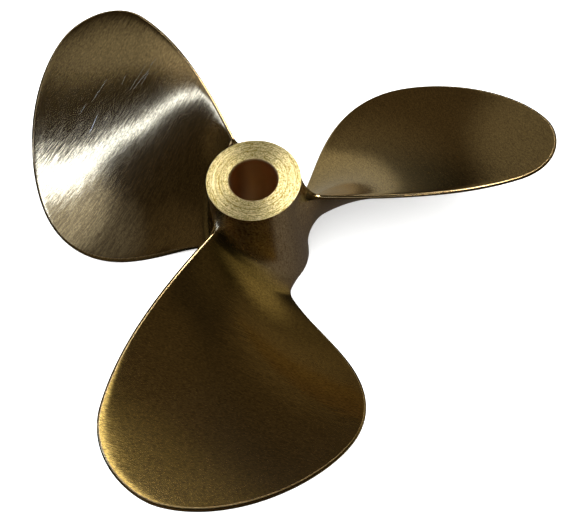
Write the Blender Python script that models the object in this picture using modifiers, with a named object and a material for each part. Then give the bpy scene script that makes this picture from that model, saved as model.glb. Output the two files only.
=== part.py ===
"""Three-blade left-hand bronze boat propeller, one casting that stands on the forward face of its hub.

The shaft axis is +Z and points aft. The origin is on that axis, at the height of the centre of mass.
Everything is in metres.
"""

import math

import bmesh
import bpy
from mathutils import Matrix, Vector

# Propeller
DIAMETER = 0.3556
PITCH = 0.402
ROOT_PITCH_REDUCTION = 0.055
BLADE_COUNT = 3
FIRST_BLADE_ANGLE = math.radians(-90)

# Hub: a tapered barrel, faced flat at both ends
HUB_LENGTH = 0.0840
HUB_AFT_DIAMETER = 0.0525
HUB_FORWARD_DIAMETER = 0.0566
AFT_FACE_HEIGHT = 0.0428
HUB_SEGMENTS = 72

# Shaft bore: a standard 1 in 16 taper, larger at the forward face
BORE_FORWARD_DIAMETER = 0.03175
BORE_TAPER = 1 / 16
BORE_CHAMFER = 0.0006

# Blade: a helical pressure face that leans aft, and a crowned suction face
ROOT_RADIUS = 0.025
ROOT_BELOW_AFT_FACE = 0.0380
RAKE = 0.119
ROOT_THICKNESS = 0.0134
TIP_THICKNESS = 0.0027
THICKNESS_FALL = 0.75
EDGE_THICKNESS = 0.0020
EDGE_WIDEST_SHARE = 0.75
LEADING_ROUNDING = 0.0022
LEADING_SHOULDER_SHARE = 0.30
TRAILING_ROUNDING = 0.0010
TRAILING_SHOULDER_SHARE = 0.25
SUCTION_INSET = 0.0005
LEAST_HALF_CHORD = 0.0033
ROOT_FILLET = 0.0118
FILLET_STOP = math.radians(20)
FILLET_SINK = 0.0010

# Blade outline, developed: distance round from the blade's centre line towards the leading edge, and radius.
# Each edge is two cubic curves that share their fourth point.
TRAILING_EDGE = (
    (-0.0110, 0.0240),
    (-0.0335, 0.0760),
    (-0.0456, 0.1131),
    (-0.0447, 0.1451),
    (-0.0443, 0.1704),
    (-0.0174, DIAMETER / 2),
    (-0.0070, DIAMETER / 2),
)
LEADING_EDGE = (
    (0.0221, 0.0300),
    (0.0379, 0.0602),
    (0.1147, 0.1116),
    (0.0821, 0.1419),
    (0.0688, 0.1548),
    (0.0243, DIAMETER / 2),
    (-0.0070, DIAMETER / 2),
)

# Mesh of a blade
FILLET_STATIONS = 6
SPAN_STATIONS = 20
TIP_STATIONS = 7
TIP_ZONE = 0.010
CHORD_POINTS = 14
INNER_RADIUS = 0.0205
TAPER_BLEND_END = 0.060
CUT_MARGIN = 0.020

BRONZE = (0.58, 0.40, 0.17, 1.0)


def clear_scene():
    for item in list(bpy.data.objects):
        bpy.data.objects.remove(item, do_unlink=True)


def make_collection(name):
    collection = bpy.data.collections.new(name)
    bpy.context.scene.collection.children.link(collection)
    return collection


def make_bronze():
    material = bpy.data.materials.new("cast_bronze")
    material.use_nodes = True
    shader = material.node_tree.nodes["Principled BSDF"]
    shader.inputs["Base Color"].default_value = BRONZE
    shader.inputs["Metallic"].default_value = 1.0
    shader.inputs["Roughness"].default_value = 0.28
    return material


def cubic(points, t):
    """A point of the cubic curve through four control points."""
    weights = ((1 - t) ** 3, 3 * t * (1 - t) ** 2, 3 * t * t * (1 - t), t**3)
    return tuple(sum(w * p[axis] for w, p in zip(weights, points)) for axis in (0, 1))


def edge_distance(edge, radius):
    """How far round from the centre line an edge lies at a radius."""
    inner = edge[:4]
    outer = edge[3:]
    curve = inner if radius <= edge[3][1] else outer
    low, high = 0.0, 1.0
    for _ in range(48):
        middle = (low + high) / 2
        if cubic(curve, middle)[1] < radius:
            low = middle
        else:
            high = middle
    return cubic(curve, high)[0]


def outward_share(radius):
    """How far out a radius lies, from 0 at the root to 1 at the tip."""
    return (radius - ROOT_RADIUS) / (DIAMETER / 2 - ROOT_RADIUS)


def pitch_at(radius):
    return PITCH * (1 - ROOT_PITCH_REDUCTION * (1 - outward_share(radius)) ** 2)


def blade_thickness(radius):
    """Greatest thickness of the section at a radius."""
    return ROOT_THICKNESS + (TIP_THICKNESS - ROOT_THICKNESS) * outward_share(radius) ** THICKNESS_FALL


def hub_radius_at(height):
    """Outer radius of the tapered hub at a height."""
    below_aft = (AFT_FACE_HEIGHT - height) / HUB_LENGTH
    return (HUB_AFT_DIAMETER + (HUB_FORWARD_DIAMETER - HUB_AFT_DIAMETER) * below_aft) / 2


def section(radius):
    """The closed section at a radius, as chord position and depth below the pressure face."""
    stretch = math.hypot(1, pitch_at(radius) / (2 * math.pi * radius))
    trailing = edge_distance(TRAILING_EDGE, radius) * stretch
    leading = edge_distance(LEADING_EDGE, radius) * stretch
    middle = (leading + trailing) / 2
    half_chord = max((leading - trailing) / 2, LEAST_HALF_CHORD)
    trailing, leading = middle - half_chord, middle + half_chord
    crown = blade_thickness(radius) - EDGE_THICKNESS
    steps = [(1 - math.cos(math.pi * i / (CHORD_POINTS - 1))) / 2 for i in range(CHORD_POINTS)]

    def along(step, trailing_inset, leading_inset):
        return trailing + trailing_inset + step * (leading - leading_inset - trailing - trailing_inset)

    widest = -EDGE_THICKNESS * EDGE_WIDEST_SHARE
    nose_shoulder = leading - LEADING_ROUNDING * LEADING_SHOULDER_SHARE
    tail_shoulder = trailing + TRAILING_ROUNDING * TRAILING_SHOULDER_SHARE
    pressure = [(along(step, TRAILING_ROUNDING, LEADING_ROUNDING), 0.0) for step in steps]
    nose = [(nose_shoulder, -EDGE_THICKNESS * LEADING_SHOULDER_SHARE), (leading, widest)]
    suction = [
        (along(step, SUCTION_INSET, SUCTION_INSET), -EDGE_THICKNESS - crown * 4 * step * (1 - step))
        for step in reversed(steps)
    ]
    tail = [(trailing, widest), (tail_shoulder, -EDGE_THICKNESS * TRAILING_SHOULDER_SHARE)]
    return pressure + nose + suction + tail


def outward_normals(points):
    """The outward direction at each point of a closed section that runs from pressure side to suction side."""
    normals = []
    for i, point in enumerate(points):
        here = Vector(point)
        before = (here - Vector(points[i - 1])).normalized()
        after = (Vector(points[(i + 1) % len(points)]) - here).normalized()
        along = (before + after).normalized()
        normals.append(Vector((-along.y, along.x)))
    return normals


def wrapped_section(radius, shape_radius, growth, taper_share):
    """The section of shape_radius, grown all round and wrapped at a radius that follows the hub's taper by a share."""
    angle = math.atan(pitch_at(shape_radius) / (2 * math.pi * shape_radius))
    centre = AFT_FACE_HEIGHT - ROOT_BELOW_AFT_FACE + RAKE * (shape_radius - ROOT_RADIUS)
    points = section(shape_radius)
    wrapped = []
    for point, normal in zip(points, outward_normals(points)):
        along = point[0] + growth * normal.x
        depth = point[1] + growth * normal.y
        sideways = along * math.cos(angle) + depth * math.sin(angle)
        height = centre - along * math.sin(angle) + depth * math.cos(angle)
        turn = FIRST_BLADE_ANGLE + sideways / shape_radius
        taper = HUB_FORWARD_DIAMETER / 2 - hub_radius_at(height)
        reach = radius - taper * taper_share
        wrapped.append(Vector((reach * math.cos(turn), reach * math.sin(turn), height)))
    return wrapped


def blade_stations():
    """Radius, shape radius, fillet growth and taper share of each section, from inside the hub to the tip."""
    hub_radius = HUB_FORWARD_DIAMETER / 2
    tip = DIAMETER / 2
    fillet = []
    for i in range(FILLET_STATIONS):
        lift = FILLET_STOP + (math.pi / 2 - FILLET_STOP) * i / (FILLET_STATIONS - 1)
        radius = hub_radius + ROOT_FILLET * (1 - math.cos(lift))
        fillet.append((radius, radius, ROOT_FILLET * (1 - math.sin(lift)), 1.0))
    first = fillet[0]
    sunk_radius = hub_radius - FILLET_SINK
    sunk_growth = first[2] + (first[0] - sunk_radius) / math.tan(FILLET_STOP)
    inside = [(INNER_RADIUS, first[1], sunk_growth, 0.0), (sunk_radius, first[1], sunk_growth, 1.0)]
    start = fillet[-1][0]
    end = tip - TIP_ZONE
    span = []
    for i in range(1, SPAN_STATIONS + 1):
        radius = start + (end - start) * i / SPAN_STATIONS
        share = max(0.0, (TAPER_BLEND_END - radius) / (TAPER_BLEND_END - start))
        span.append((radius, radius, 0.0, share))
    for i in range(1, TIP_STATIONS + 1):
        radius = tip - TIP_ZONE * (1 - i / TIP_STATIONS) ** 2
        span.append((radius, radius, 0.0, 0.0))
    return inside + fillet + span


def make_blade(index, collection):
    """One blade as a loft through its sections, with its inner end inside the hub."""
    form = bmesh.new()
    rings = []
    for station in blade_stations():
        rings.append([form.verts.new(point) for point in wrapped_section(*station)])
    for inner, outer in zip(rings, rings[1:]):
        for i in range(len(inner)):
            j = (i + 1) % len(inner)
            form.faces.new((inner[i], inner[j], outer[j], outer[i]))
    form.faces.new(rings[0])
    form.faces.new(rings[-1])
    bmesh.ops.recalc_face_normals(form, faces=form.faces)
    turn = Matrix.Rotation(2 * math.pi * index / BLADE_COUNT, 4, "Z")
    bmesh.ops.transform(form, matrix=turn, verts=form.verts)
    mesh = bpy.data.meshes.new(f"blade_{index + 1}")
    form.to_mesh(mesh)
    form.free()
    blade = bpy.data.objects.new(f"blade_{index + 1}", mesh)
    collection.objects.link(blade)
    blade.hide_render = True
    blade.display_type = "WIRE"
    return blade


def make_turned(name, profile, collection):
    """A turned solid from its profile, given as radius and height from top to bottom."""
    mesh = bpy.data.meshes.new(name)
    edges = [(i, i + 1) for i in range(len(profile) - 1)]
    mesh.from_pydata([(radius, 0.0, height) for radius, height in profile], edges, [])
    item = bpy.data.objects.new(name, mesh)
    collection.objects.link(item)
    screw = item.modifiers.new("turn", "SCREW")
    screw.steps = HUB_SEGMENTS
    screw.render_steps = HUB_SEGMENTS
    screw.use_merge_vertices = True
    screw.merge_threshold = 0.00001
    screw.use_smooth_shade = True
    return item


def make_hub(collection):
    """The barrel, longer than finished so that its end faces are cut flat with the fillets."""
    slope = (HUB_FORWARD_DIAMETER - HUB_AFT_DIAMETER) / 2 / HUB_LENGTH
    top = AFT_FACE_HEIGHT + CUT_MARGIN / 2
    bottom = AFT_FACE_HEIGHT - HUB_LENGTH - CUT_MARGIN / 2
    top_radius = HUB_AFT_DIAMETER / 2 - slope * CUT_MARGIN / 2
    bottom_radius = HUB_FORWARD_DIAMETER / 2 + slope * CUT_MARGIN / 2
    profile = [(0.0, top), (top_radius, top), (bottom_radius, bottom), (0.0, bottom)]
    return make_turned("propeller_casting", profile, collection)


def make_end_cutter(name, low, high, collection):
    """A disc wider than the propeller that faces one end of the hub."""
    profile = [(0.0, high), (DIAMETER, high), (DIAMETER, low), (0.0, low)]
    return make_turned(name, profile, collection)


def make_bore_cutter(collection):
    forward = AFT_FACE_HEIGHT - HUB_LENGTH
    forward_radius = BORE_FORWARD_DIAMETER / 2
    aft_radius = forward_radius - HUB_LENGTH * BORE_TAPER / 2
    profile = [
        (0.0, AFT_FACE_HEIGHT + CUT_MARGIN),
        (aft_radius + BORE_CHAMFER + CUT_MARGIN, AFT_FACE_HEIGHT + CUT_MARGIN),
        (aft_radius + BORE_CHAMFER, AFT_FACE_HEIGHT),
        (aft_radius, AFT_FACE_HEIGHT - BORE_CHAMFER),
        (forward_radius, forward + BORE_CHAMFER),
        (forward_radius + BORE_CHAMFER, forward),
        (forward_radius + BORE_CHAMFER + CUT_MARGIN, forward - CUT_MARGIN),
        (0.0, forward - CUT_MARGIN),
    ]
    return make_turned("bore_cutter", profile, collection)


def add_boolean(item, operation, other):
    boolean = item.modifiers.new(f"{operation.lower()}_{other.name}", "BOOLEAN")
    boolean.operation = operation
    boolean.solver = "EXACT"
    boolean.object = other


def make_propeller():
    parts = make_collection("boat_propeller")
    cutters = make_collection("cutters")
    hub = make_hub(parts)
    for index in range(BLADE_COUNT):
        add_boolean(hub, "UNION", make_blade(index, cutters))
    aft_top = AFT_FACE_HEIGHT + 2 * CUT_MARGIN
    forward_face = AFT_FACE_HEIGHT - HUB_LENGTH
    helpers = [
        make_end_cutter("aft_facing_cutter", AFT_FACE_HEIGHT, aft_top, cutters),
        make_end_cutter("forward_facing_cutter", forward_face - 2 * CUT_MARGIN, forward_face, cutters),
        make_bore_cutter(cutters),
    ]
    for cutter in helpers:
        cutter.hide_render = True
        cutter.display_type = "WIRE"
        add_boolean(hub, "DIFFERENCE", cutter)
    hub.data.materials.append(make_bronze())


clear_scene()
make_propeller()
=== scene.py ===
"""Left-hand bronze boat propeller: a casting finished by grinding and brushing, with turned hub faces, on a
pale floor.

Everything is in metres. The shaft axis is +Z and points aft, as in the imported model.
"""

import bisect
import math

import bmesh
import bpy
from mathutils import Matrix, Quaternion, Vector


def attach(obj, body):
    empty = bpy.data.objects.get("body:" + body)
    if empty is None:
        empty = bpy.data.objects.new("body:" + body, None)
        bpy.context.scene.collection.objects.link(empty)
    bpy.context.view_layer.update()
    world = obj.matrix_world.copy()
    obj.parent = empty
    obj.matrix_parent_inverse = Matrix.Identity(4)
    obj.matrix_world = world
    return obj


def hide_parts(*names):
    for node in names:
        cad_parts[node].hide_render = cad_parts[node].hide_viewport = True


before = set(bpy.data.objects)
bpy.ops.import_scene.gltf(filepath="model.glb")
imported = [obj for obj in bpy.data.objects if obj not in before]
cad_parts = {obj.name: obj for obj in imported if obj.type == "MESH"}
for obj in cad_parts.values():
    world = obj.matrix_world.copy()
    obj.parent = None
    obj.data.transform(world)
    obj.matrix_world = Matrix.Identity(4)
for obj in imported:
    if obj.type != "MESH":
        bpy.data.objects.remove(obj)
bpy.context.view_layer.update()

# Propeller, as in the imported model
DIAMETER = 0.3556
PITCH = 0.402
ROOT_PITCH_REDUCTION = 0.055
BLADE_COUNT = 3
FIRST_BLADE_ANGLE = math.radians(-90)
HUB_LENGTH = 0.0840
HUB_AFT_DIAMETER = 0.0525
HUB_FORWARD_DIAMETER = 0.0566
AFT_FACE_HEIGHT = 0.0428
FORWARD_FACE_HEIGHT = AFT_FACE_HEIGHT - HUB_LENGTH
BORE_FORWARD_DIAMETER = 0.03175
BORE_TAPER = 1 / 16
BORE_CHAMFER = 0.0006
ROOT_RADIUS = 0.025
ROOT_BELOW_AFT_FACE = 0.0380
RAKE = 0.119
ROOT_THICKNESS = 0.0134
TIP_THICKNESS = 0.0027
THICKNESS_FALL = 0.75
EDGE_THICKNESS = 0.0020
ROOT_FILLET = 0.0118
TAPER_BLEND_END = 0.060

# Blade outline, developed: distance round towards the leading edge and radius, two cubic curves an edge
TRAILING_EDGE = (
    (-0.0110, 0.0240),
    (-0.0335, 0.0760),
    (-0.0456, 0.1131),
    (-0.0447, 0.1451),
    (-0.0443, 0.1704),
    (-0.0174, DIAMETER / 2),
    (-0.0070, DIAMETER / 2),
)
LEADING_EDGE = (
    (0.0221, 0.0300),
    (0.0379, 0.0602),
    (0.1147, 0.1116),
    (0.0821, 0.1419),
    (0.0688, 0.1548),
    (0.0243, DIAMETER / 2),
    (-0.0070, DIAMETER / 2),
)

# Edge of a blade: the roll-off from the pressure face's crease round to the suction face
EDGE_BAND = 0.0060
EDGE_WIDEST = 0.0015
ROLL_FULLNESS = 0.62
BACK_FULLNESS = 0.4
LEADING_ROLL = 0.0022
TRAILING_ROLL = 0.0010
LEADING_DROOP = 0.00004
TRAILING_DROOP = 0.00013
CREASE_RADIUS = 0.00025
CREASE_TURN = math.radians(24)
SUCTION_INSET = 0.0007
TIP_FADE = 0.012
FORM_CHANGE_START = 0.25
FORM_CHANGE_LENGTH = 0.30

# Mesh of a blade's edge, from the pressure face round to the suction face
BAND_PLACES = (0.0, 0.3, 0.5, 0.65, 0.78, 0.9, 1.0)
CREASE_STEPS = 3
ROLL_STEPS = 8
BACK_STEPS = 6
INSET_STEPS = 5
CREASE_ROWS = range(len(BAND_PLACES), len(BAND_PLACES) + CREASE_STEPS)

# Mesh of a blade and the hub
SIDE_STEPS = 56
ACROSS_STEPS = 40
FILLET_STEPS = 14
PATCH_STEPS = 14
RIM_ROWS = 4
CORNER_ON_TRAILING_SIDE = 0.40
CORNER_ON_LEADING_SIDE = 0.60
EDGE_SAMPLES = 300
RIM_SAMPLES = 900
RIM_DIRECTION_REACH = 0.003
HUB_SKIN_OVERRUN = 0.004
BORE_SEGMENTS = 96
RIM_BREAK = 0.00035
RIM_WELD = 0.0003
RIM_BREAK_STEPS = 2
SHARP_TURN = math.radians(20)
ROOT_EDGE_BLEND = 0.030
WELD = 0.000002

# Finishes of the casting's faces, by their order on it; the rest is brushed
TURNED = 1
REAMED = 2


def cubic(points, t):
    """A point of the cubic curve through four control points."""
    weights = ((1 - t) ** 3, 3 * t * (1 - t) ** 2, 3 * t * t * (1 - t), t**3)
    return tuple(sum(w * p[axis] for w, p in zip(weights, points)) for axis in (0, 1))


def smooth_step(value):
    """A value from 0 to 1 eased in and out."""
    value = min(1.0, max(0.0, value))
    return value * value * (3 - 2 * value)


def outward_share(radius):
    """How far out a radius lies, from 0 at the root to 1 at the tip."""
    return (radius - ROOT_RADIUS) / (DIAMETER / 2 - ROOT_RADIUS)


def pitch_angle(radius):
    """The angle of the helical pressure face at a radius."""
    pitch = PITCH * (1 - ROOT_PITCH_REDUCTION * (1 - outward_share(radius)) ** 2)
    return math.atan(pitch / (2 * math.pi * radius))


def blade_thickness(radius):
    """The greatest thickness of the section at a radius."""
    share = max(0.0, outward_share(radius))
    return ROOT_THICKNESS + (TIP_THICKNESS - ROOT_THICKNESS) * share**THICKNESS_FALL


def hub_radius_at(height):
    """Outer radius of the tapered hub at a height."""
    below_aft = (AFT_FACE_HEIGHT - height) / HUB_LENGTH
    return (HUB_AFT_DIAMETER + (HUB_FORWARD_DIAMETER - HUB_AFT_DIAMETER) * below_aft) / 2


class Edge:
    """One edge of the blade as chord position against radius, read from its two cubic curves."""

    def __init__(self, points):
        curves = points[:4], points[3:]
        samples = [cubic(curve, i / EDGE_SAMPLES) for curve in curves for i in range(EDGE_SAMPLES + 1)]
        self.radii = [radius for _, radius in samples]
        self.rounds = [distance for distance, _ in samples]
        rise = points[1][1] - points[0][1]
        self.root_slope = (points[1][0] - points[0][0]) / rise

    def chord_position(self, radius):
        """Where the edge lies along the chord at a radius, measured on the helix."""
        if radius <= self.radii[0]:
            distance = self.rounds[0] + (radius - self.radii[0]) * self.root_slope
        else:
            after = min(bisect.bisect_left(self.radii, radius), len(self.radii) - 1)
            before = after - 1
            gap = self.radii[after] - self.radii[before]
            share = (radius - self.radii[before]) / gap if gap > 1e-9 else 0.0
            change = self.rounds[after] - self.rounds[before]
            distance = self.rounds[before] + change * min(1.0, share)
        return distance / math.cos(pitch_angle(radius))


class Outline:
    """A blade's outline from the trailing root over the tip to the leading root, by share of its length."""

    def __init__(self, trailing, leading, root_radius):
        rise = DIAMETER / 2 - root_radius
        points = []
        for edge, backwards in ((trailing, False), (leading, True)):
            side = []
            for i in range(RIM_SAMPLES):
                radius = root_radius + rise * math.sin(math.pi / 2 * i / (RIM_SAMPLES - 1))
                side.append((edge.chord_position(radius), radius))
            points += side[::-1] if backwards else side
        self.points = [points[0]]
        self.lengths = [0.0]
        for point in points[1:]:
            step = math.dist(point, self.points[-1])
            if step > 1e-7:
                self.points.append(point)
                self.lengths.append(self.lengths[-1] + step)
        self.length = self.lengths[-1]

    def at(self, share):
        """Chord position and radius at a share of the outline."""
        wanted = share * self.length
        after = min(max(bisect.bisect_left(self.lengths, wanted), 1), len(self.points) - 1)
        start, end = self.lengths[after - 1], self.lengths[after]
        part = (wanted - start) / (end - start)
        return tuple(a + (b - a) * part for a, b in zip(self.points[after - 1], self.points[after]))

    def inward(self, share):
        """The inward direction, which turns to run along the chord near the root."""
        reach = RIM_DIRECTION_REACH / self.length
        before, after = self.at(max(0.0, share - reach)), self.at(min(1.0, share + reach))
        along = Vector((after[0] - before[0], after[1] - before[1])).normalized()
        inward = Vector((along.y, -along.x))
        from_root = min(share, 1 - share) * self.length
        flat = Vector((1.0 if share < 0.5 else -1.0, 0.0))
        return flat.lerp(inward, smooth_step(from_root / ROOT_EDGE_BLEND)).normalized()


TRAILING = Edge(TRAILING_EDGE)
LEADING = Edge(LEADING_EDGE)
FILLET_TOP = HUB_FORWARD_DIAMETER / 2 + ROOT_FILLET
OUTLINE = Outline(TRAILING, LEADING, FILLET_TOP)


def suction_depth(along, radius):
    """How far the crowned suction face lies below the pressure face."""
    start, end = TRAILING.chord_position(radius), LEADING.chord_position(radius)
    share = min(1.0, max(0.0, (along - start) / max(end - start, 1e-6)))
    fade = 1 - smooth_step((radius - DIAMETER / 2 + TIP_FADE) / TIP_FADE)
    crown = (blade_thickness(radius) - EDGE_THICKNESS) * fade
    return -EDGE_THICKNESS - crown * 4 * share * (1 - share)


def edge_profile(roll, droop):
    """The section of an edge, from the pressure face over the crease and round to the suction face.

    Each point is its distance inside the outline, its depth, and the run over which the suction face's
    slope lowers it further. A run of None puts the point on the suction face itself.
    """
    wide = EDGE_BAND - roll - CREASE_RADIUS
    points = [(EDGE_BAND - wide * t, -droop * t**3, 0.0) for t in BAND_PLACES]
    turned = (roll - CREASE_RADIUS * math.cos(CREASE_TURN), -droop - CREASE_RADIUS * math.sin(CREASE_TURN))
    for i in range(1, CREASE_STEPS + 1):
        t = i / CREASE_STEPS
        inside = (1 - t) ** 2 * (roll + CREASE_RADIUS) + 2 * t * (1 - t) * roll + t * t * turned[0]
        points.append((inside, -droop + t * t * (turned[1] + droop), 0.0))
    lead = (turned[0] * 0.5, turned[1] - turned[0] * 0.5 * math.tan(CREASE_TURN))
    roll_off = (turned, lead, (0.0, -EDGE_WIDEST * ROLL_FULLNESS), (0.0, -EDGE_WIDEST))
    points += [(*cubic(roll_off, i / ROLL_STEPS), 0.0) for i in range(1, ROLL_STEPS + 1)]
    guide = SUCTION_INSET * BACK_FULLNESS
    middle = -(EDGE_WIDEST + EDGE_THICKNESS) / 2
    back = ((0.0, -EDGE_WIDEST), (0.0, middle), (guide, -EDGE_THICKNESS), (SUCTION_INSET, -EDGE_THICKNESS))
    runs = ((0.0, 0.0), (0.0, 0.0), (guide, 0.0), (SUCTION_INSET, 0.0))
    for i in range(1, BACK_STEPS + 1):
        points.append((*cubic(back, i / BACK_STEPS), cubic(runs, i / BACK_STEPS)[0]))
    for i in range(1, INSET_STEPS + 1):
        points.append((SUCTION_INSET + (EDGE_BAND - SUCTION_INSET) * (i / INSET_STEPS) ** 2, 0.0, None))
    return points


LEADING_PROFILE = edge_profile(LEADING_ROLL, LEADING_DROOP)
TRAILING_PROFILE = edge_profile(TRAILING_ROLL, TRAILING_DROOP)
EDGE_STEPS = len(LEADING_PROFILE) - 1
LOOP_STEPS = 2 * (ACROSS_STEPS + EDGE_STEPS)


def edge_point(share_along, step):
    """A point of the edge's section, which changes from the trailing to the leading form over the tip."""
    weight = smooth_step((share_along - FORM_CHANGE_START) / FORM_CHANGE_LENGTH)
    before, after = TRAILING_PROFILE[step], LEADING_PROFILE[step]
    return tuple(None if a is None else a + (b - a) * weight for a, b in zip(before, after))


def edge_depth(along, radius, depth, run, inset_point):
    """Depth of an edge point, given the point where the edge's round meets the suction face."""
    if run is None:
        return suction_depth(along, radius)
    slope = -(suction_depth(*inset_point) + EDGE_THICKNESS) / SUCTION_INSET
    return depth - slope * run


def placed(along, depth, radius):
    """A point of the blade from its chord position, its depth below the pressure face and its radius."""
    angle = pitch_angle(radius)
    centre = AFT_FACE_HEIGHT - ROOT_BELOW_AFT_FACE + RAKE * (radius - ROOT_RADIUS)
    sideways = along * math.cos(angle) + depth * math.sin(angle)
    height = centre - along * math.sin(angle) + depth * math.cos(angle)
    turn = FIRST_BLADE_ANGLE + sideways / radius
    taper_share = min(1.0, max(0.0, (TAPER_BLEND_END - radius) / (TAPER_BLEND_END - FILLET_TOP)))
    reach = radius - (HUB_FORWARD_DIAMETER / 2 - hub_radius_at(height)) * taper_share
    return Vector((reach * math.cos(turn), reach * math.sin(turn), height))


def band_point(share, step):
    """Chord position, radius and depth of the edge band, by share of the outline and ring."""
    inside, depth, run = edge_point(share, step)
    at, inward = OUTLINE.at(share), OUTLINE.inward(share)
    along, radius = at[0] + inward.x * inside, at[1] + inward.y * inside
    inset_point = (at[0] + inward.x * SUCTION_INSET, at[1] + inward.y * SUCTION_INSET)
    return along, radius, edge_depth(along, radius, depth, run, inset_point)


def outline_shares():
    """Shares of the outline at which the mesh has points, from the trailing root to the leading root."""
    low = [CORNER_ON_TRAILING_SIDE * i / SIDE_STEPS for i in range(SIDE_STEPS)]
    gap = CORNER_ON_LEADING_SIDE - CORNER_ON_TRAILING_SIDE
    top = [CORNER_ON_TRAILING_SIDE + gap * i / ACROSS_STEPS for i in range(ACROSS_STEPS)]
    rest = 1 - CORNER_ON_LEADING_SIDE
    high = [CORNER_ON_LEADING_SIDE + rest * i / SIDE_STEPS for i in range(SIDE_STEPS + 1)]
    return low + top + high


SHARES = outline_shares()


def inner_plane():
    """Chord position and radius at each point of the grid inside the edge band, blended from its sides."""
    ring = [band_point(share, 0)[:2] for share in SHARES]
    trailing = ring[: SIDE_STEPS + 1]
    tip = ring[SIDE_STEPS : SIDE_STEPS + ACROSS_STEPS + 1]
    leading = ring[SIDE_STEPS + ACROSS_STEPS :][::-1]
    grid = {}
    for i in range(ACROSS_STEPS + 1):
        for j in range(SIDE_STEPS + 1):
            u, v = i / ACROSS_STEPS, j / SIDE_STEPS
            point = []
            for axis in (0, 1):
                root = trailing[0][axis] * (1 - u) + leading[0][axis] * u
                sides = trailing[j][axis] * (1 - u) + leading[j][axis] * u
                ends = root * (1 - v) + tip[i][axis] * v
                corners = root * (1 - v) + (trailing[-1][axis] * (1 - u) + leading[-1][axis] * u) * v
                point.append(sides + ends - corners)
            grid[i, j] = tuple(point)
    return grid


def root_section(radius):
    """The closed section at a radius in the fillet, from the trailing end of the pressure face."""
    ends = TRAILING.chord_position(radius), LEADING.chord_position(radius)
    points = []
    for i in range(ACROSS_STEPS):
        share = i / ACROSS_STEPS
        points.append((ends[0] + EDGE_BAND + (ends[1] - ends[0] - 2 * EDGE_BAND) * share, 0.0))
    for inside, depth, run in LEADING_PROFILE[:-1]:
        along = ends[1] - inside
        points.append((along, edge_depth(along, radius, depth, run, (ends[1] - SUCTION_INSET, radius))))
    for i in range(ACROSS_STEPS):
        share = 1 - i / ACROSS_STEPS
        along = ends[0] + EDGE_BAND + (ends[1] - ends[0] - 2 * EDGE_BAND) * share
        points.append((along, suction_depth(along, radius)))
    for inside, depth, run in TRAILING_PROFILE[:0:-1]:
        along = ends[0] + inside
        points.append((along, edge_depth(along, radius, depth, run, (ends[0] + SUCTION_INSET, radius))))
    return points


def outward_normals(points):
    """The outward direction at each point of a closed section, from its pressure side round."""
    normals = []
    for i, point in enumerate(points):
        here = Vector(point)
        before = (here - Vector(points[i - 1])).normalized()
        after = (Vector(points[(i + 1) % len(points)]) - here).normalized()
        along = (before + after).normalized()
        normals.append(Vector((-along.y, along.x)))
    return normals


def fillet_rings():
    """Rings of points from the hub's surface to the top of the root fillet, each a grown section."""
    rings = []
    for i in range(FILLET_STEPS + 1):
        lift = math.pi / 2 * i / FILLET_STEPS
        radius = FILLET_TOP - ROOT_FILLET * math.cos(lift)
        growth = ROOT_FILLET * (1 - math.sin(lift))
        points = root_section(radius)
        ring = []
        for point, normal in zip(points, outward_normals(points)):
            ring.append(((point[0] + growth * normal.x, point[1] + growth * normal.y), radius))
        rings.append(ring)
    return rings


def add_grid(form, columns, rows, place, crease_rows=()):
    """A grid of faces, each point moved to place(column, row), with the rows of a crease marked."""
    crease = form.verts.layers.float["crease"]
    made = bmesh.ops.create_grid(form, x_segments=columns, y_segments=rows, size=0.5)
    for vert in made["verts"]:
        column, row = round((vert.co.x + 0.5) * columns), round((vert.co.y + 0.5) * rows)
        vert.co = place(column, row)
        vert[crease] = 1.0 if row in crease_rows else 0.0


def add_blade(form):
    """The skin of one blade and its fillet."""
    plane = inner_plane()

    def pressure(column, row):
        along, radius = plane[column, row]
        return placed(along, 0.0, radius)

    def suction(column, row):
        along, radius = plane[column, row]
        return placed(along, suction_depth(along, radius), radius)

    def band(column, row):
        along, radius, depth = band_point(SHARES[column], row)
        return placed(along, depth, radius)

    rings = fillet_rings()

    def fillet(column, row):
        (along, depth), radius = rings[row][column % LOOP_STEPS]
        return placed(along, depth, radius)

    add_grid(form, ACROSS_STEPS, SIDE_STEPS, pressure)
    add_grid(form, ACROSS_STEPS, SIDE_STEPS, suction)
    add_grid(form, len(SHARES) - 1, EDGE_STEPS, band, CREASE_ROWS)
    add_grid(form, LOOP_STEPS, FILLET_STEPS, fillet)
    return [placed(*point, radius) for point, radius in rings[0]]


def add_hub_patch(form, foot):
    """The hub's surface from one blade to the next, longer than the hub."""
    heights = [point.z for point in foot]
    top = heights.index(max(heights))
    count = LOOP_STEPS // 2
    turn = 2 * math.pi / BLADE_COUNT
    near = [foot[(top + i) % LOOP_STEPS] for i in range(count + 1)]
    far = [foot[(top - i) % LOOP_STEPS] for i in range(count + 1)]
    over = AFT_FACE_HEIGHT + HUB_SKIN_OVERRUN - near[0].z

    def patch(column, row):
        step = max(0, row - RIM_ROWS)
        share = column / PATCH_STEPS
        start, end = near[step], far[step]
        start_turn = math.atan2(start.y, start.x) % (2 * math.pi)
        end_turn = math.atan2(end.y, end.x) % (2 * math.pi) + turn
        height = start.z + (end.z - start.z) * share
        height += over * (1 - row / RIM_ROWS) if row < RIM_ROWS else 0.0
        angle = start_turn + (end_turn - start_turn) * share
        reach = hub_radius_at(height)
        return Vector((reach * math.cos(angle), reach * math.sin(angle), height))

    add_grid(form, PATCH_STEPS, count + RIM_ROWS, patch)


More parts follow.
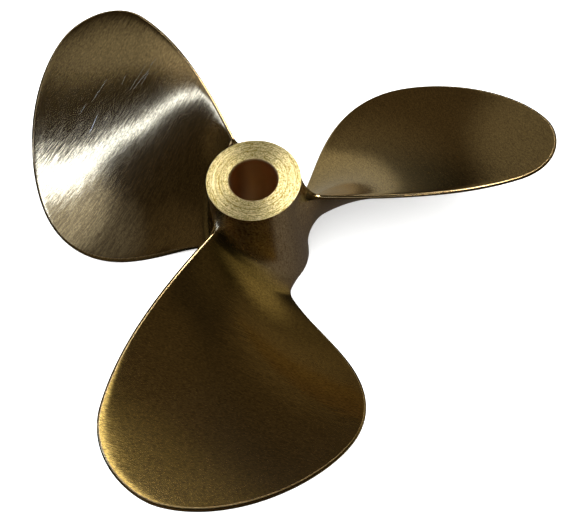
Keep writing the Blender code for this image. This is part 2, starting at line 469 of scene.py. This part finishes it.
def cut_end(form, height, upwards):
    """Faces one end of the open skin off flat and returns the edges of its new rim."""
    bmesh.ops.bisect_plane(
        form,
        geom=list(form.verts) + list(form.edges) + list(form.faces),
        dist=WELD,
        plane_co=(0, 0, height),
        plane_no=(0, 0, upwards),
        clear_outer=True,
    )
    rim = [vert for vert in form.verts if vert.is_boundary and abs(vert.co.z - height) < WELD]
    bmesh.ops.remove_doubles(form, verts=rim, dist=RIM_WELD)
    return [edge for edge in form.edges if edge.is_boundary and abs(edge.verts[0].co.z - height) < WELD]


def add_bore(form, rims):
    """The flat end faces and the tapered, chamfered bore between them."""
    slope = BORE_TAPER / 2
    forward_radius = BORE_FORWARD_DIAMETER / 2
    aft_radius = forward_radius - HUB_LENGTH * slope
    sizes = (
        (aft_radius + BORE_CHAMFER, AFT_FACE_HEIGHT),
        (aft_radius, AFT_FACE_HEIGHT - BORE_CHAMFER),
        (forward_radius, FORWARD_FACE_HEIGHT + BORE_CHAMFER),
        (forward_radius + BORE_CHAMFER, FORWARD_FACE_HEIGHT),
    )
    circles = []
    for radius, height in sizes:
        place = Matrix.Translation((0, 0, height))
        made = bmesh.ops.create_circle(form, segments=BORE_SEGMENTS, radius=radius, matrix=place)
        circles.append(list({edge for vert in made["verts"] for edge in vert.link_edges}))
    for near, far in zip(circles, circles[1:]):
        walls = bmesh.ops.bridge_loops(form, edges=near + far)["faces"]
        for face in walls:
            face.material_index = REAMED
    for rim, circle in ((rims[0], circles[0]), (rims[1], circles[-1])):
        ends = bmesh.ops.bridge_loops(form, edges=rim + circle)["faces"]
        for face in ends:
            face.material_index = TURNED


def make_casting():
    """The whole propeller as one closed mesh: the blades round the hub, and its ends faced and bored."""
    form = bmesh.new()
    outward = form.verts.layers.float_vector.new("outward")
    form.verts.layers.float.new("crease")
    foot = add_blade(form)
    add_hub_patch(form, foot)
    first = list(form.verts) + list(form.edges) + list(form.faces)
    for vert in form.verts:
        vert[outward] = (math.cos(FIRST_BLADE_ANGLE), math.sin(FIRST_BLADE_ANGLE), 0.0)
    for index in range(1, BLADE_COUNT):
        copy = bmesh.ops.duplicate(form, geom=first)["geom"]
        verts = [item for item in copy if isinstance(item, bmesh.types.BMVert)]
        turn = Matrix.Rotation(2 * math.pi * index / BLADE_COUNT, 3, "Z")
        bmesh.ops.rotate(form, cent=(0, 0, 0), matrix=turn, verts=verts)
        for vert in verts:
            vert[outward] = turn @ vert[outward]
    bmesh.ops.remove_doubles(form, verts=form.verts, dist=WELD)
    rims = [cut_end(form, AFT_FACE_HEIGHT, 1), cut_end(form, FORWARD_FACE_HEIGHT, -1)]
    add_bore(form, rims)
    rim_edges = rims[0] + rims[1]
    bmesh.ops.bevel(
        form,
        geom=rim_edges,
        offset=RIM_BREAK,
        affect="EDGES",
        segments=RIM_BREAK_STEPS,
        profile=0.5,
        material=-1,
        clamp_overlap=True,
    )
    bmesh.ops.recalc_face_normals(form, faces=form.faces)
    for face in form.faces:
        face.smooth = True
    for edge in form.edges:
        machined = any(face.material_index for face in edge.link_faces)
        edge.smooth = not machined or edge.calc_face_angle(0.0) < SHARP_TURN
    mesh = bpy.data.meshes.new("propeller_casting_surface")
    form.to_mesh(mesh)
    form.free()
    casting = bpy.data.objects.new("propeller_casting_surface", mesh)
    bpy.context.scene.collection.objects.link(casting)
    return casting


class Socket:
    """A node's output that takes part in sums, each of which adds its Math node."""

    def __init__(self, tree, output):
        self.tree = tree
        self.output = output

    def maths(self, operation, *others):
        """The result of a Math node on this output and other values."""
        return node(self.tree, "ShaderNodeMath", {"operation": operation}, dict(enumerate((self, *others))))

    def __add__(self, other):
        return self.maths("ADD", other)

    def __mul__(self, other):
        return self.maths("MULTIPLY", other)

    def __sub__(self, other):
        return self.maths("SUBTRACT", other)

    def __truediv__(self, other):
        return self.maths("DIVIDE", other)

    def __rsub__(self, other):
        return node(self.tree, "ShaderNodeMath", {"operation": "SUBTRACT"}, {0: other, 1: self})

    __radd__ = __add__
    __rmul__ = __mul__


def node(tree, kind, settings, sockets, output=0):
    """Adds a node, with its settings first and then the values or links of its sockets."""
    made = tree.nodes.new(kind)
    for name, value in settings.items():
        setattr(made, name, value)
    for name, value in sockets.items():
        if isinstance(value, Socket):
            tree.links.new(value.output, made.inputs[name])
        else:
            made.inputs[name].default_value = value
    return Socket(tree, made.outputs[output])


def new_finish(name):
    """A metal finish, with its tree and its shader."""
    material = bpy.data.materials.new(name)
    material.use_nodes = True
    tree = material.node_tree
    shader = tree.nodes["Principled BSDF"]
    shader.inputs["Metallic"].default_value = 1.0
    return material, tree, shader


def finish_sockets(tree, shader, colour, roughness, normal):
    """Links what changes over a surface to its shader."""
    for socket, value in (("Base Color", colour), ("Roughness", roughness), ("Normal", normal)):
        tree.links.new(value.output, shader.inputs[socket])


def vector_maths(tree, operation, *values, output=0):
    """The result of a Vector Math node."""
    return node(tree, "ShaderNodeVectorMath", {"operation": operation}, dict(enumerate(values)), output)


def dot(tree, first, second):
    """How far one vector runs along another."""
    return vector_maths(tree, "DOT_PRODUCT", first, second, output="Value")


def length(tree, vector):
    """The length of a vector."""
    return vector_maths(tree, "LENGTH", vector, output="Value")


def scaled(tree, vector, factor):
    """A vector or colour times a number."""
    return node(tree, "ShaderNodeVectorMath", {"operation": "SCALE"}, {0: vector, "Scale": factor})


def noise(tree, vector, scale, detail, roughness=0.5):
    """Soft noise from 0 to 1, with a middle of a half."""
    sockets = {"Vector": vector, "Scale": scale, "Detail": detail, "Roughness": roughness}
    return node(tree, "ShaderNodeTexNoise", {"noise_dimensions": "3D"}, sockets)


def ranged(tree, value, low, high, to_low, to_high, smooth=False):
    """A value carried from one range to another and held at its ends."""
    settings = {"interpolation_type": "SMOOTHSTEP" if smooth else "LINEAR"}
    return node(tree, "ShaderNodeMapRange", settings, {0: value, 1: low, 2: high, 3: to_low, 4: to_high})


def mixed(tree, factor, first, second):
    """A colour between two colours."""
    return node(tree, "ShaderNodeMix", {"data_type": "RGBA"}, {0: factor, 6: first, 7: second}, 2)


def object_place(tree):
    """Where a point of the surface lies, in metres."""
    return node(tree, "ShaderNodeTexCoord", {}, {}, "Object")


def height_of(tree, vector):
    """The upward part of a vector."""
    return node(tree, "ShaderNodeSeparateXYZ", {}, {0: vector}, "Z")


def surface_normal(tree):
    """The direction that the surface faces."""
    return node(tree, "ShaderNodeNewGeometry", {}, {}, "Normal")


def tilted(tree, towards, slope):
    """The surface normal leant along a direction by a varying slope."""
    lean = scaled(tree, towards, slope)
    return vector_maths(tree, "NORMALIZE", vector_maths(tree, "ADD", surface_normal(tree), lean))


# Bronze by how each surface was worked, as linear colours, and a darker bronze that paints shade on faces
# turned down
POLISHED_BRONZE = ((0.95, 0.665, 0.27, 1.0), (1.0, 0.71, 0.305, 1.0))
# Painted shade: a darker, duller bronze for faces that point down, in place of the dark that they would
# reflect
UNDERSIDE_SHADE_BRONZE = (0.58, 0.46, 0.22, 1.0)
HUB_BRONZE = (0.92, 0.72, 0.37, 1.0)
BRUSH_LINE = (0.50, 0.33, 0.135, 1.0)
FRESH_SCRATCH = (1.0, 0.86, 0.60, 1.0)
TURNED_BRONZE = ((0.36, 0.24, 0.025, 1.0), (1.0, 0.83, 0.385, 1.0))
REAMED_BRONZE = ((0.72, 0.43, 0.16, 1.0), (0.86, 0.57, 0.25, 1.0))

# Where the brushing starts and the hub's finish ends, by distance from the shaft axis
BLADE_FINISH_FROM = (0.030, 0.050)
HUB_FINISH_TO = (0.028, 0.034)

# Brush marks: their width and run, and for some how far they turn from the brushing
FINE_MARKS = (0.00035, 0.008)
MIDDLE_MARKS = (0.0009, 0.016, 0.05)
BROAD_MARKS = (0.0040, 0.060, -0.04)
SHORT_MARKS = (0.00038, 0.0016)
HEAVY_MARKS = (0.0009, 0.010)
WAVE_SCALE = 18.0
WAVE_HEIGHT = 0.00012
CLOUD_SCALE = 14.0

# Roughness of each finish, and what is added to it where the surface is worked less finely
BRUSHED_ROUGHNESS = (0.115, 0.145)
ROOT_ROUGHNESS = 0.16
ROUGHER_ON_HUB = 0.14
ROUGHER_UNDERNEATH = 0.22
ROUGHER_IN_SCRATCH = 0.14
ROUGHER_ON_CREASE = 0.45
TURNED_ROUGHNESS = (0.276, 0.30)
REAMED_ROUGHNESS = (0.40, 0.50)

# Tool marks in the machined faces, in marks to the metre, and how often arcs break off round the axis
FINE_RINGS = 9000.0
COARSE_RINGS = 1500.0
BROAD_RINGS = 1000.0
ARC_RINGS = 2400.0
ARCS_ROUND = 9.0
SPECKS = 1500.0
REAMER_RINGS = 2600.0
BORE_CLOUD_SCALE = 60.0
# A groove in the aft face, drawn only as a painted dark ring of shade in the colour
GROOVE_RADIUS = 0.0189
GROOVE_HALF_WIDTH = (0.0001, 0.0004)

# The blade that is worn more than the others, by the direction it points in, and where its wear ends
WORN_BLADE = (-0.866, 0.5, 0.0)
WEAR_INSIDE = (0.080, 0.100)
WEAR_OUTSIDE = (0.045, 0.075)
SCRATCH_HALF_WIDTH = (0.00007, 0.00027)
# Its scratches: each one's middle outwards and across, its half length, and its turn from the brushing
SCRATCHES = (
    (0.1130, -0.0266, 0.0027, 0.190),
    (0.1136, -0.0158, 0.0084, 0.135),
    (0.1118, -0.0168, 0.0045, 0.010),
    (0.1164, -0.0149, 0.0077, -0.017),
    (0.1238, -0.0095, 0.0030, -0.220),
    (0.1337, 0.0039, 0.0075, -0.029),
    (0.1242, 0.0205, 0.0055, -0.229),
    (0.1357, 0.0185, 0.0035, -0.094),
)


def scratched(tree, out, across):
    """Where the scratches lie: 1 on a scratch and 0 away from it."""
    total = 0.0
    for middle_out, middle_across, half_length, turn in SCRATCHES:
        off_out, off_across = out - middle_out, across - middle_across
        aside = (off_out - off_across * turn).maths("ABSOLUTE")
        along = (off_across + off_out * turn).maths("ABSOLUTE")
        line = ranged(tree, aside, *SCRATCH_HALF_WIDTH, 1.0, 0.0)
        ends = ranged(tree, along, half_length * 0.7, half_length * 1.2, 1.0, 0.0)
        total = (line * ends).maths("MAXIMUM", total)
    return total


def brushed_finish():
    """Bronze finished by grinding and brushing: fine marks that run across each blade, over a faintly
    uneven surface, with painted shade on faces turned down.
    """
    material, tree, shader = new_finish("brushed_bronze")
    place = object_place(tree)
    outward = node(tree, "ShaderNodeAttribute", {"attribute_name": "outward"}, {}, "Vector")
    crease = node(tree, "ShaderNodeAttribute", {"attribute_name": "crease"}, {}, "Fac")
    out = dot(tree, place, outward)
    across = dot(tree, place, vector_maths(tree, "CROSS_PRODUCT", (0.0, 0.0, 1.0), outward))
    height = height_of(tree, place)
    shaft_distance = length(tree, vector_maths(tree, "MULTIPLY", place, (1.0, 1.0, 0.0)))
    on_blade = ranged(tree, shaft_distance, *BLADE_FINISH_FROM, 0.0, 1.0, smooth=True)
    on_hub = ranged(tree, shaft_distance, *HUB_FINISH_TO, 1.0, 0.0, smooth=True)
    # Faces turned down, which take the painted shade and more roughness
    underneath = ranged(tree, height_of(tree, surface_normal(tree)), 0.0, -0.2, 0.0, 1.0)
    on_worn_blade = ranged(tree, dot(tree, outward, WORN_BLADE), 0.6, 0.9, 0.0, 1.0)

    def marks(width, run, turn=0.0):
        """Noise drawn out along the brush marks, of a width and run in metres, turned a little."""
        along = across + out * turn
        aside = out - across * turn
        sockets = {0: aside / width, 1: along / run, 2: height / run}
        return noise(tree, node(tree, "ShaderNodeCombineXYZ", {}, sockets), 1.0, 1.0)

    fine = marks(*FINE_MARKS)
    middle = marks(*MIDDLE_MARKS)
    broad = marks(*BROAD_MARKS)
    slope = (fine - 0.5) * 0.10 + (middle - 0.5) * 0.025 + (broad - 0.5) * 0.004
    leant = tilted(tree, outward, slope * on_blade)
    waves = noise(tree, place, WAVE_SCALE, 1.0)
    bump = {"Strength": 1.0, "Distance": WAVE_HEIGHT, "Height": waves, "Normal": leant}
    normal = node(tree, "ShaderNodeBump", {}, bump)

    cloud = noise(tree, place, CLOUD_SCALE, 3.0, 0.6)
    polished = mixed(tree, cloud, *POLISHED_BRONZE)
    # Painted shade: faces that point down take the darker bronze
    shaded_below = mixed(tree, underneath, polished, UNDERSIDE_SHADE_BRONZE)
    metal = mixed(tree, on_hub, shaded_below, HUB_BRONZE)
    streaks = ranged(tree, marks(*SHORT_MARKS) + fine * 0.3 + middle * 0.1, 0.50, 0.90, 0.0, 1.0)
    heavy = ranged(tree, marks(*HEAVY_MARKS), 0.36, 0.64, -0.42, 0.58)
    inner_half = ranged(tree, out - across * 0.4, *WEAR_INSIDE, 1.0, 0.15)
    clear_of_root = ranged(tree, out, *WEAR_OUTSIDE, 0.2, 1.0)
    wear = on_worn_blade * 0.75 * inner_half * clear_of_root
    streaked = mixed(tree, streaks + heavy * wear, metal, BRUSH_LINE)
    scratches = scratched(tree, out, across) * (on_worn_blade * 0.85)
    colour = mixed(tree, scratches, streaked, FRESH_SCRATCH)

    brushed = ranged(tree, cloud, 0.3, 0.7, *BRUSHED_ROUGHNESS)
    worked = brushed * on_blade + ROOT_ROUGHNESS * (1 - on_blade)
    worked = worked + on_hub * ROUGHER_ON_HUB + underneath * ROUGHER_UNDERNEATH
    roughness = worked + scratches * ROUGHER_IN_SCRATCH + crease * ROUGHER_ON_CREASE
    finish_sockets(tree, shader, colour, roughness, normal)
    return material


def turned_finish():
    """The faced ends of the hub: concentric tool marks that lean the surface in and out."""
    material, tree, shader = new_finish("turned_bronze")
    place = object_place(tree)
    flat = vector_maths(tree, "MULTIPLY", place, (1.0, 1.0, 0.0))
    reach = length(tree, flat)
    from_axis = vector_maths(tree, "NORMALIZE", flat)
    ring_place = node(tree, "ShaderNodeCombineXYZ", {}, {0: reach})
    arc_rings = scaled(tree, (0.0, 0.0, ARC_RINGS), reach)
    arc_place = vector_maths(tree, "ADD", scaled(tree, from_axis, ARCS_ROUND), arc_rings)
    fine = noise(tree, ring_place, FINE_RINGS, 1.0)
    coarse = noise(tree, ring_place, COARSE_RINGS, 1.0)
    rings = noise(tree, ring_place, BROAD_RINGS, 1.0)
    arcs = noise(tree, arc_place, 1.0, 1.0)
    speck = noise(tree, place, SPECKS, 1.0)
    flanks = ranged(tree, fine, 0.42, 0.58, -0.20, 0.20)
    slope = flanks + (coarse - 0.5) * 0.30 + (speck - 0.5) * 0.3
    normal = tilted(tree, from_axis, slope)
    grain = ranged(tree, arcs * 0.5 + speck * 0.5 + rings * 0.4, 0.58, 0.80, 0.0, 1.0)
    # Painted shade: the colour darkens in a thin ring where the groove lies
    painted_groove_shade = ranged(tree, (reach - GROOVE_RADIUS).maths("ABSOLUTE"), *GROOVE_HALF_WIDTH, 0.2, 1.0)
    colour = mixed(tree, grain * painted_groove_shade, *TURNED_BRONZE)
    roughness = ranged(tree, speck, 0.3, 0.7, *TURNED_ROUGHNESS)
    finish_sockets(tree, shader, colour, roughness, normal)
    return material


def reamed_finish():
    """The wall of the tapered bore, with fine rings from the reamer."""
    material, tree, shader = new_finish("reamed_bronze")
    place = object_place(tree)
    ring_place = node(tree, "ShaderNodeCombineXYZ", {}, {2: height_of(tree, place)})
    rings = noise(tree, ring_place, REAMER_RINGS, 1.0)
    normal = tilted(tree, (0.0, 0.0, 1.0), (rings - 0.5) * 0.25)
    cloud = noise(tree, place, BORE_CLOUD_SCALE, 2.0)
    colour = mixed(tree, cloud, *REAMED_BRONZE)
    roughness = ranged(tree, cloud, 0.3, 0.7, *REAMED_ROUGHNESS)
    finish_sockets(tree, shader, colour, roughness, normal)
    return material


def direction(azimuth, elevation):
    """The unit vector at an azimuth and elevation in degrees."""
    a, e = math.radians(azimuth), math.radians(elevation)
    return (math.cos(e) * math.cos(a), math.cos(e) * math.sin(a), math.sin(e))


# Soft lights that the metal sees: azimuth, elevation, half widths of core and soft edge in degrees, colour
SOFT_LIGHTS = (
    (22, 67, 2, 10, (1.2, 1.2, 0.8)),
    (-69, 78, 2, 5, (3.4, 3.7, 4.3)),
    (-113, 63, 0, 14, (0.38, 0.45, 0.63)),
    (-94, 54, 0, 18, (0.065, 0.074, 0.100)),
    (-80, 12, 4, 42, (0.030, 0.026, 0.020)),
    (-178, 32, 2, 14, (0.12, 0.12, 0.13)),
    (50, 60, 2, 18, (0.070, 0.066, 0.028)),
    (-163, -2, 3, 20, (0.030, 0.026, 0.018)),
    (-125, -14, 3, 20, (0.055, 0.050, 0.035)),
    (98, 18, 7, 15, (0.09, 0.09, 0.080)),
    (124, 8, 4, 26, (0.028, 0.022, 0.014)),
    (14, 2, 6, 22, (0.012, 0.010, 0.004)),
    (22, 42, 4, 18, (0.020, 0.015, 0.007)),
    (47, 20, 4, 20, (0.014, 0.010, 0.004)),
    (54, -3, 4, 32, (0.056, 0.046, 0.024)),
    (12, -58, 20, 46, (0.084, 0.076, 0.080)),
    (-22, -45, 6, 24, (0.050, 0.046, 0.042)),
)
# Long curved lights, by azimuth, elevation and half width of the core along them, in degrees
BRIGHT_STRIP = (
    (-174.5, 6, 0.0),
    (-173, 21, 0.0),
    (-163, 32, 0.0),
    (-147.5, 42.5, 0.2),
    (-138, 52.2, 0.5),
    (-131, 57.5, 1.8),
    (-127.5, 61.5, 2.9),
    (-132, 66, 2.6),
)
FAINT_STRIP = ((178, 24, 1.0), (-178, 38, 2.0), (-175, 50, 2.5), (-172, 56, 1.0))
OLIVE_STRIP = ((-18, -24, 2.0), (10, -18, 4.0), (44, -18, 6.0))
WARM_LAMP = ((52, 75, 2.0), (61, 69, 3.2), (70, 62, 3.5), (77, 54, 3.1), (86, 43.5, 2.2))
# Each long light with its soft edge in degrees and its colour
LONG_LIGHTS = (
    (BRIGHT_STRIP, 2.2, (2.5, 3.5, 7.0)),
    (FAINT_STRIP, 5.0, (0.168, 0.180, 0.192)),
    (OLIVE_STRIP, 13.0, (0.115, 0.106, 0.054)),
    (WARM_LAMP, 5.0, (11.0, 11.3, 13.5)),
)
STUDIO_DARK = (0.023, 0.0185, 0.0115, 1.0)
FLOOR_DARK = (0.004, 0.0035, 0.002, 1.0)
HORIZON_BLUR = (-0.12, 0.08)
# Sheen behind the propeller: its colour, the side it lies away from, and its middle
BACK_SHEEN = (0.265, 0.266, 0.230)
SHEEN_AWAY_FROM = (46.7, 61.5)
SHEEN_MIDDLE = (125, -25)

# The air and the floor as the camera and diffuse light see them
PALE_AIR = (1.25, 1.25, 1.25, 1.0)
FLOOR_RADIUS = 6.0
FLOOR_SEGMENTS = 96
FLOOR_COLOUR = (0.86, 0.86, 0.85, 1.0)
FLOOR_ROUGHNESS = 0.9
FLOOR_GLOW = 0.35
LAMP_PLACE = (0.0, 0.1, 2.2)
LAMP_SIZE = 4.0
LAMP_POWER = 120.0

CAMERA_PLACE = Vector((0.09332, -0.24264, 0.43564))
CAMERA_TARGET = Vector((0.02301, -0.02542, 0.0))
CAMERA_ROLL = math.radians(-6.003)
CAMERA_LENS = 53.30


def make_studio():
    """The studio as the metal sees it: a dark room with soft lights, and a sheen low at the back."""
    world = bpy.data.worlds.new("studio")
    bpy.context.scene.world = world
    world.use_nodes = True
    tree = world.node_tree
    facing = node(tree, "ShaderNodeTexCoord", {}, {}, "Generated")

    def side(azimuth, elevation):
        """How far the view lies to one side, from -1 to 1."""
        return dot(tree, facing, direction(azimuth, elevation))

    def strip(path, edge):
        """The share of light from a curved strip: full in its core and soft over an edge in degrees."""
        total = 0.0
        for near, far in zip(path, path[1:]):
            start = Vector(direction(*near[:2]))
            run = Vector(direction(*far[:2])) - start
            from_start = vector_maths(tree, "SUBTRACT", facing, start)
            share = ranged(tree, dot(tree, from_start, run / run.length_squared), 0.0, 1.0, 0.0, 1.0)
            distance = length(tree, vector_maths(tree, "SUBTRACT", from_start, scaled(tree, run, share)))
            core = share * math.radians(far[2] - near[2]) + math.radians(near[2])
            glow = ranged(tree, distance - core, 0.0, math.radians(edge), 1.0, 0.0, smooth=True)
            total = glow.maths("MAXIMUM", total)
        return total

    low = ranged(tree, side(0, -90), *HORIZON_BLUR, 0.0, 1.0, smooth=True)
    total = mixed(tree, low, STUDIO_DARK, FLOOR_DARK)
    for azimuth, elevation, core, edge, colour in SOFT_LIGHTS:
        outer, inner = math.cos(math.radians(edge)), math.cos(math.radians(core))
        share = ranged(tree, side(azimuth, elevation), outer, inner, 0.0, 1.0, smooth=True)
        total = vector_maths(tree, "ADD", total, scaled(tree, colour, share))
    for path, edge, colour in LONG_LIGHTS:
        total = vector_maths(tree, "ADD", total, scaled(tree, colour, strip(path, edge)))
    away = side(*SHEEN_AWAY_FROM)
    full = ranged(tree, away, 0.05, -0.07, 0.0, 0.72, smooth=True)
    faint = ranged(tree, away, 0.32, -0.05, 0.0, 0.28)
    round_middle = ranged(tree, side(*SHEEN_MIDDLE), 0.60, 0.87, 0.0, 1.0, smooth=True)
    total = vector_maths(tree, "ADD", total, scaled(tree, BACK_SHEEN, (full + faint) * round_middle))
    seen = node(tree, "ShaderNodeLightPath", {}, {}, "Is Camera Ray")
    lit = node(tree, "ShaderNodeLightPath", {}, {}, "Is Diffuse Ray")
    total = mixed(tree, seen + lit, total, PALE_AIR)
    tree.links.new(total.output, tree.nodes["Background"].inputs["Color"])


def make_floor():
    """A round pale floor at the height of the hub's forward face."""
    form = bmesh.new()
    place = Matrix.Translation((0, 0, FORWARD_FACE_HEIGHT))
    bmesh.ops.create_circle(form, cap_ends=True, segments=FLOOR_SEGMENTS, radius=FLOOR_RADIUS, matrix=place)
    mesh = bpy.data.meshes.new("floor")
    form.to_mesh(mesh)
    form.free()
    floor = bpy.data.objects.new("floor", mesh)
    bpy.context.scene.collection.objects.link(floor)
    material = bpy.data.materials.new("pale_floor")
    material.use_nodes = True
    shader = material.node_tree.nodes["Principled BSDF"]
    shader.inputs["Base Color"].default_value = FLOOR_COLOUR
    shader.inputs["Roughness"].default_value = FLOOR_ROUGHNESS
    shader.inputs["Specular IOR Level"].default_value = 0.0
    shader.inputs["Emission Color"].default_value = (1.0, 1.0, 1.0, 1.0)
    shader.inputs["Emission Strength"].default_value = FLOOR_GLOW
    mesh.materials.append(material)
    floor.visible_glossy = False


def add_lamp():
    """A broad soft lamp overhead, which only the floor and diffuse light see."""
    lamp = bpy.data.objects.new("overhead_soft", bpy.data.lights.new("overhead_soft", "AREA"))
    lamp.data.shape = "DISK"
    lamp.data.size = LAMP_SIZE
    lamp.data.energy = LAMP_POWER
    lamp.location = LAMP_PLACE
    lamp.rotation_mode = "QUATERNION"
    lamp.rotation_quaternion = (-Vector(LAMP_PLACE)).to_track_quat("-Z", "Y")
    lamp.visible_glossy = False
    bpy.context.scene.collection.objects.link(lamp)


def add_camera():
    """The camera, with the photograph's viewing angle and framing."""
    camera = bpy.data.objects.new("camera", bpy.data.cameras.new("camera"))
    bpy.context.scene.collection.objects.link(camera)
    bpy.context.scene.camera = camera
    camera.location = CAMERA_PLACE
    aim = (CAMERA_TARGET - CAMERA_PLACE).to_track_quat("-Z", "Y")
    camera.rotation_mode = "QUATERNION"
    camera.rotation_quaternion = aim @ Quaternion((0, 0, 1), CAMERA_ROLL)
    camera.data.lens = CAMERA_LENS


casting = make_casting()
for finish in (brushed_finish(), turned_finish(), reamed_finish()):
    casting.data.materials.append(finish)
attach(casting, "root")
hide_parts("propeller_casting")

add_camera()
make_studio()
make_floor()
add_lamp()
bpy.context.scene.view_settings.view_transform = "Standard"
